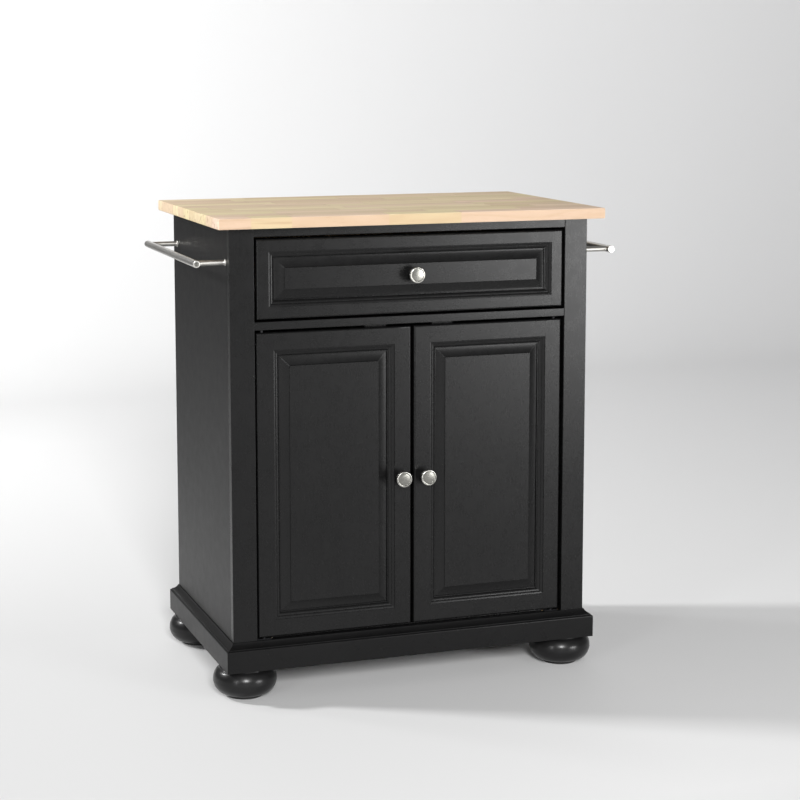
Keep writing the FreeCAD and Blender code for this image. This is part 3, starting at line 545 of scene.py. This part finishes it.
def build_knob(node):
    """Waisted knob with a flat brushed face inside a fine rim."""
    lo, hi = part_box(node)
    cx, cz, front = (lo.x + hi.x) / 2, (lo.z + hi.z) / 2, lo.y
    root = front + 0.024
    reach = 0.024
    R = 0.01425
    prof = [(0.0, -0.0120), (0.0019, -0.0120), (0.0019, 0.0), (0.0072, 0.0)]
    prof += arc(0.0068, 0.0007, 0.0007, -30, 60, 4)
    prof += smooth_curve([(0.0070, 0.0015), (0.0060, 0.0026), (0.0055, 0.0045), (0.0055, 0.0095), (0.0061, 0.0125),
                          (0.0082, 0.0147), (0.0110, 0.0158)], 6)
    prof += [(a, b) for a, b in arc(R - 0.0026, reach - 0.0052, 0.0026, -78, 0, 8)]
    prof += [(a, b) for a, b in arc(R - 0.0015, reach - 0.0015, 0.0015, 0, 90, 8)]
    rim = len(prof) - 1
    prof += [(R - 0.0026, reach), (R - 0.0030, reach - 0.0001), (R - 0.0033, reach - 0.0005), (R - 0.0036, reach - 0.00065)]
    dome = R - 0.0036
    prof += [(dome * k / 8, reach - 0.00005 - 0.0006 * (k / 8) ** 2) for k in range(7, -1, -1)]
    bm = bmesh.new()
    lathe_into(bm, prof, (cx, root, cz), (0, -1, 0), 128, face_mat=lambda k: 1 if k >= rim else 0)
    # the knob face takes the darkened nickel, painted shade
    new_object(node + "_turned", bm, [KNOB_BODY, KNOB_FACE_PAINTED_SHADE], BODY[node], SLOT[node], node, smooth=32.0)


for n in ("drawer_knob", "door_left_knob", "door_right_knob"):
    build_knob(n)


def build_towel_bar(side, s):
    node = "towel_bar_" + side
    lo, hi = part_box(node)
    cx, cz, r = (lo.x + hi.x) / 2, (lo.z + hi.z) / 2, (hi.x - lo.x) / 2
    L = hi.y - lo.y
    prof = [(0.0, 0.0), (r - 0.0026, 0.0), (r - 0.0022, 0.00005)]
    prof += [(a, b) for a, b in arc(r - 0.0008, 0.0008, 0.0008, -90, 0, 6)]
    k = 48
    prof += [(r, 0.0008 + (L - 0.0016) * i / k) for i in range(1, k)]
    prof += [(a, b) for a, b in arc(r - 0.0008, L - 0.0008, 0.0008, 0, 90, 6)]
    prof += [(r - 0.0022, L - 0.00005), (r - 0.0026, L), (0.0, L)]
    bm = bmesh.new()
    lathe_into(bm, prof, (cx, lo.y, cz), (0, 1, 0), 64, face_mat=lambda i: 1 if i < 2 or i > len(prof) - 4 else 0)
    # the bar end caps take the darkened nickel, painted shade
    new_object(node + "_tube", bm, [BAR_METAL, KNOB_FACE_PAINTED_SHADE], "root", SLOT[node], node, smooth=32.0)


bar_l, bar_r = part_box("towel_bar_left"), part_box("towel_bar_right")
for side, s in (("left", -1), ("right", 1)):
    build_towel_bar(side, s)
plo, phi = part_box("towel_bar_posts")
bm = bmesh.new()
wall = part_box("side_panel_right")[1].x
bar_x = (bar_r[0].x + bar_r[1].x) / 2
bar_z = (bar_r[0].z + bar_r[1].z) / 2
post_y = (phi.y - 0.008)
for s in (-1, 1):
    for y in (-post_y, post_y):
        prof = [(0.0, 0.0002), (0.0059, 0.0002)] + arc(0.0055, 0.0009, 0.0006, -60, 40, 5)
        prof += smooth_curve([(0.0058, 0.0014), (0.0054, 0.0019), (0.0050, 0.0022), (0.00478, 0.0032)], 5)
        prof += [(0.00475, 0.0060), (0.00475, 0.030), (0.00475, bar_x - wall - 0.0052), (0.0052, bar_x - wall - 0.0036),
                 (0.0050, bar_x - wall - 0.0015), (0.0, bar_x - wall - 0.0015)]
        lathe_into(bm, prof, (wall * s, y, bar_z), (s, 0, 0), 48)
new_object("towel_bar_post_set", bm, POST_METAL, "root", SLOT["towel_bar_posts"], "towel_bar_posts", smooth=35.0)

# ---------------------------------------------------------------- small fastenings that the boards need


def screw_heads(name, places, radius, rise, body, mat):
    """Shallow pan heads with a round dished recess, set on the surface at each (point, direction)."""
    bm = bmesh.new()
    for at, way in places:
        way = Vector(way).normalized()
        prof = [(0.0, -0.0012), (radius * 0.45, -0.0012), (radius * 0.45, -0.0001), (radius, 0.0)]
        prof += [(radius * math.cos(t), rise * math.sin(t)) for t in (0.25, 0.55, 0.85, 1.1)]
        prof += [(radius * 0.36, rise * 0.97), (radius * 0.30, rise * 0.55), (radius * 0.16, rise * 0.2), (0.0, rise * 0.15)]
        lathe_into(bm, prof, at, way, 24)
    return new_object(name, bm, mat, body, "zinc_steel", smooth=35.0)


back_lo, back_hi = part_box("back_panel")
heads = []
for i in range(6):
    z = 0.1130 + (back_hi.z - 0.05 - 0.1130) * i / 5
    for x in (back_lo.x + 0.0075, back_hi.x - 0.0075):
        heads.append(((x, back_hi.y, z), (0, 1, 0)))
for x in (-0.16, 0.0, 0.16):
    heads.append(((x, back_hi.y, back_hi.z - 0.04), (0, 1, 0)))
    heads.append(((x, back_hi.y, 0.1130), (0, 1, 0)))
screw_heads("back_panel_screws", heads, 0.0038, 0.0016, "root", ZINC)

br_lo, br_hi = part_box("top_brackets")
heads = []
inner = br_hi.x
for s in (-1, 1):
    for y in (-0.110, 0.110):
        heads.append(((s * (inner - 0.018), y, br_hi.z - 0.002), (0, 0, -1)))
        heads.append(((s * (inner - 0.002), y, br_hi.z - 0.018), (-s, 0, 0)))
screw_heads("bracket_screws", heads, 0.0038, 0.0016, "root", ZINC)

# ---------------------------------------------------------------- floor, light and camera


def stage_material(name):
    """Matt studio paper with light and shade painted into its colour. The wall is painted brightest on the left and a
    little deeper towards the right, a painted light falloff. The floor is painted darker to the left of the cart and
    far in front of it, as painted shade. A painted dark patch beside and behind the cart on the left darkens what the
    left side panel reflects.
    """
    m = Mat(name)
    cloud = m.noise(m.here, 1.3, 3.0, 0.5)
    fine = m.noise(m.here, 320.0, 2.0, 0.5)
    at = m.node("ShaderNodeSeparateXYZ", Vector=m.here)
    x, y = at.outputs[0], at.outputs[1]
    # painted light falloff: the wall is painted lighter on the left than on the right
    wall = m.mix(m.range(x, 0.0, 2.4, 0.0, 1.0), (0.84, 0.84, 0.84), (0.80, 0.80, 0.803))
    # painted shade: the floor is painted darker towards the left of the cart
    near_floor_painted_shade = m.mix(m.range(x, -0.9, 0.3, 0.0, 1.0), (0.62, 0.62, 0.62), (0.77, 0.77, 0.77))
    base = m.mix(m.range(y, 0.3, 2.2, 0.0, 1.0), near_floor_painted_shade, wall)
    # painted shade: a dark patch beside and behind the cart on the left, which darkens what the left side panel
    # reflects
    aside = m.math("SUBTRACT", x, m.math("MULTIPLY", y, 0.1435))
    painted_dark_patch_mask = m.math("MULTIPLY", m.range(aside, -0.73, -0.92, 0.0, 1.0), m.range(y, 0.0, 0.6, 0.0, 1.0))
    # painted shade: the floor is painted darker far in front of the cart
    base = m.mix(m.range(y, -0.85, -1.5, 0.0, 1.0), base, (0.50, 0.50, 0.50))
    base = m.mix(painted_dark_patch_mask, base, (0.34, 0.34, 0.34))
    m.set(Base_Color=m.mix(m.range(cloud, 0.3, 0.7, 0.0, 0.03), base, (0.7, 0.7, 0.7)), Roughness=0.7, IOR=1.3)
    m.set(Normal=m.bump(fine, 0.05, 0.0003))
    return m.mat


def paper(name, line, xs, mat):
    bm = bmesh.new()
    grid = [[bm.verts.new((x, y, z)) for x in xs] for y, z in line]
    for a, b in zip(grid, grid[1:]):
        for i in range(len(xs) - 1):
            bm.faces.new((a[i], a[i + 1], b[i + 1], b[i]))
    me = bpy.data.meshes.new(name)
    bmesh.ops.recalc_face_normals(bm, faces=bm.faces)
    bm.to_mesh(me)
    bm.free()
    me.materials.append(mat)
    me.shade_smooth()
    o = bpy.data.objects.new(name, me)
    bpy.context.scene.collection.objects.link(o)


def build_stage():
    """A pale floor, and behind it a paper sweep that curves up into a wall."""
    back, radius, wall, start = 4.6, 1.7, 5.5, -9.0
    mat = stage_material("studio_paper")
    line = [(start, 0.0), (-3.0, 0.0), (0.0, 0.0), (back - radius, 0.0)]
    line += [(back - radius + radius * math.sin(math.radians(a)), radius - radius * math.cos(math.radians(a)))
             for a in range(4, 91, 4)]
    line += [(back, wall)]
    paper("studio_sweep", line, [-0.8, 0.5, 2.5, 7.0], mat)
    paper("studio_floor", [(start, 0.0), (-3.0, 0.0), (0.0, 0.0), (back - radius, 0.0), (6.0, 0.0)], [-7.0, -2.0, -0.8], mat)


build_stage()


def area(name, at, aim, size, power, size_y=None, colour=(1, 1, 1)):
    light = bpy.data.lights.new(name, "AREA")
    light.shape = "RECTANGLE" if size_y else "SQUARE"
    light.size = size
    if size_y:
        light.size_y = size_y
    light.energy = power
    light.color = colour
    o = bpy.data.objects.new(name, light)
    o.location = at
    o.rotation_mode = "QUATERNION"
    o.rotation_quaternion = (Vector(aim) - Vector(at)).to_track_quat("-Z", "Y")
    bpy.context.scene.collection.objects.link(o)
    return o


area("key", (-3.7, 1.6, 2.7), (0.0, 0.0, 0.3), 0.5, 162.0)
area("front", (-1.6, -7.5, 3.4), (0.0, 0.0, 0.3), 1.6, 655.0)
area("wash", (-2.4, 1.9, 2.8), (0.7, 4.6, 1.3), 1.0, 50.0)
area("card_right", (2.2, -3.5, 0.65), (0.3, -0.2, 0.7), 1.3, 74.0, 1.1)
area("strip_left", (-2.45, -2.30, 0.85), (-0.2, -0.2, 0.6), 0.35, 22.0, 1.5)

world = bpy.data.worlds.new("studio_world")
bpy.context.scene.world = world
world.use_nodes = True
bg = world.node_tree.nodes["Background"]
bg.inputs[0].default_value = (1.0, 1.0, 1.0, 1.0)
bg.inputs[1].default_value = 0.16

cam = bpy.data.cameras.new("camera")
cam.sensor_width = 36.0
cam.lens = 89.3
cam.shift_y = -0.10
cam.clip_start, cam.clip_end = 0.1, 60.0
cam.dof.use_dof = False
co = bpy.data.objects.new("camera", cam)
bpy.context.scene.collection.objects.link(co)
yaw, pitch = math.radians(19.52), math.radians(7.71)
co.location = (-1.181, -3.463, 1.130)
co.rotation_mode = "QUATERNION"
co.rotation_quaternion = Vector((math.sin(yaw) * math.cos(pitch), math.cos(yaw) * math.cos(pitch),
                                 -math.sin(pitch))).to_track_quat("-Z", "Y")
bpy.context.scene.camera = co
bpy.context.scene.view_settings.view_transform = "Standard"
bpy.context.scene.view_settings.look = "None"
bpy.context.scene.view_settings.exposure = 0.0
bpy.context.scene.view_settings.gamma = 1.0
